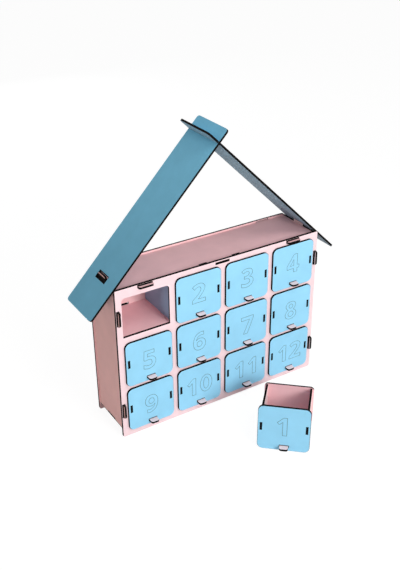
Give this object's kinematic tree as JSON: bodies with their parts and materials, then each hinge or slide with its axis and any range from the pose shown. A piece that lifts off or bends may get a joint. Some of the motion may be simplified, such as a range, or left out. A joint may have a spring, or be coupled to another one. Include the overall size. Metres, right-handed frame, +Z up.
{
  "type": "advent calendar",
  "caption": "House-shaped flat-pack advent calendar of slotted painted board: a cabinet of numbered pull-out drawers under a crossed board roof.",
  "frame": {"origin": "on the front panel's lower edge, halfway through its thickness, under the middle of the columns", "axes": "+X to the right seen from the front, +Y from the front to the back, +Z up"},
  "size_m": [0.4003, 0.2498, 0.4174],
  "materials": {
    "pink_board": "matt paint, burnt edges",
    "blue_board": "matt paint, burnt edges"
  },
  "bodies": {
    "house": {"front_panel": "pink_board", "back_panel": "pink_board", "left_side": "pink_board", "right_side": "pink_board", "top_panel": "pink_board", "bottom_panel": "pink_board", "shelf_upper": "pink_board", "shelf_lower": "pink_board", "dividers": "blue_board", "roof_left": "blue_board", "roof_right": "blue_board"},
    "drawer_1": {"drawer_1_front": "blue_board", "drawer_1_base": "pink_board", "drawer_1_sides": "pink_board", "drawer_1_back": "pink_board"},
    "drawer_2": {"drawer_2_front": "blue_board", "drawer_2_base": "pink_board", "drawer_2_sides": "pink_board", "drawer_2_back": "pink_board"},
    "drawer_3": {"drawer_3_front": "blue_board", "drawer_3_base": "pink_board", "drawer_3_sides": "pink_board", "drawer_3_back": "pink_board"},
    "drawer_4": {"drawer_4_front": "blue_board", "drawer_4_base": "pink_board", "drawer_4_sides": "pink_board", "drawer_4_back": "pink_board"},
    "drawer_5": {"drawer_5_front": "blue_board", "drawer_5_base": "pink_board", "drawer_5_sides": "pink_board", "drawer_5_back": "pink_board"},
    "drawer_6": {"drawer_6_front": "blue_board", "drawer_6_base": "pink_board", "drawer_6_sides": "pink_board", "drawer_6_back": "pink_board"},
    "drawer_7": {"drawer_7_front": "blue_board", "drawer_7_base": "pink_board", "drawer_7_sides": "pink_board", "drawer_7_back": "pink_board"},
    "drawer_8": {"drawer_8_front": "blue_board", "drawer_8_base": "pink_board", "drawer_8_sides": "pink_board", "drawer_8_back": "pink_board"},
    "drawer_9": {"drawer_9_front": "blue_board", "drawer_9_base": "pink_board", "drawer_9_sides": "pink_board", "drawer_9_back": "pink_board"},
    "drawer_10": {"drawer_10_front": "blue_board", "drawer_10_base": "pink_board", "drawer_10_sides": "pink_board", "drawer_10_back": "pink_board"},
    "drawer_11": {"drawer_11_front": "blue_board", "drawer_11_base": "pink_board", "drawer_11_sides": "pink_board", "drawer_11_back": "pink_board"},
    "drawer_12": {"drawer_12_front": "blue_board", "drawer_12_base": "pink_board", "drawer_12_sides": "pink_board", "drawer_12_back": "pink_board"}
  },
  "joints": [
    {"name": "drawer_1_lift", "type": "slide", "parent": "house", "child": "drawer_1", "axis": [0, 0, 1], "range_m": [0, 0.06]},
    {"name": "drawer_2_slide", "type": "slide", "parent": "house", "child": "drawer_2", "axis": [0, -1, 0], "range_m": [0, 0.05]},
    {"name": "drawer_3_slide", "type": "slide", "parent": "house", "child": "drawer_3", "axis": [0, -1, 0], "range_m": [0, 0.05]},
    {"name": "drawer_4_slide", "type": "slide", "parent": "house", "child": "drawer_4", "axis": [0, -1, 0], "range_m": [0, 0.05]},
    {"name": "drawer_5_slide", "type": "slide", "parent": "house", "child": "drawer_5", "axis": [0, -1, 0], "range_m": [0, 0.05]},
    {"name": "drawer_6_slide", "type": "slide", "parent": "house", "child": "drawer_6", "axis": [0, -1, 0], "range_m": [0, 0.05]},
    {"name": "drawer_7_slide", "type": "slide", "parent": "house", "child": "drawer_7", "axis": [0, -1, 0], "range_m": [0, 0.05]},
    {"name": "drawer_8_slide", "type": "slide", "parent": "house", "child": "drawer_8", "axis": [0, -1, 0], "range_m": [0, 0.05]},
    {"name": "drawer_9_slide", "type": "slide", "parent": "house", "child": "drawer_9", "axis": [0, -1, 0], "range_m": [0, 0.05]},
    {"name": "drawer_10_slide", "type": "slide", "parent": "house", "child": "drawer_10", "axis": [0, -1, 0], "range_m": [0, 0.05]},
    {"name": "drawer_11_slide", "type": "slide", "parent": "house", "child": "drawer_11", "axis": [0, -1, 0], "range_m": [0, 0.05]},
    {"name": "drawer_12_slide", "type": "slide", "parent": "house", "child": "drawer_12", "axis": [0, -1, 0], "range_m": [0, 0.05]}
  ]
}
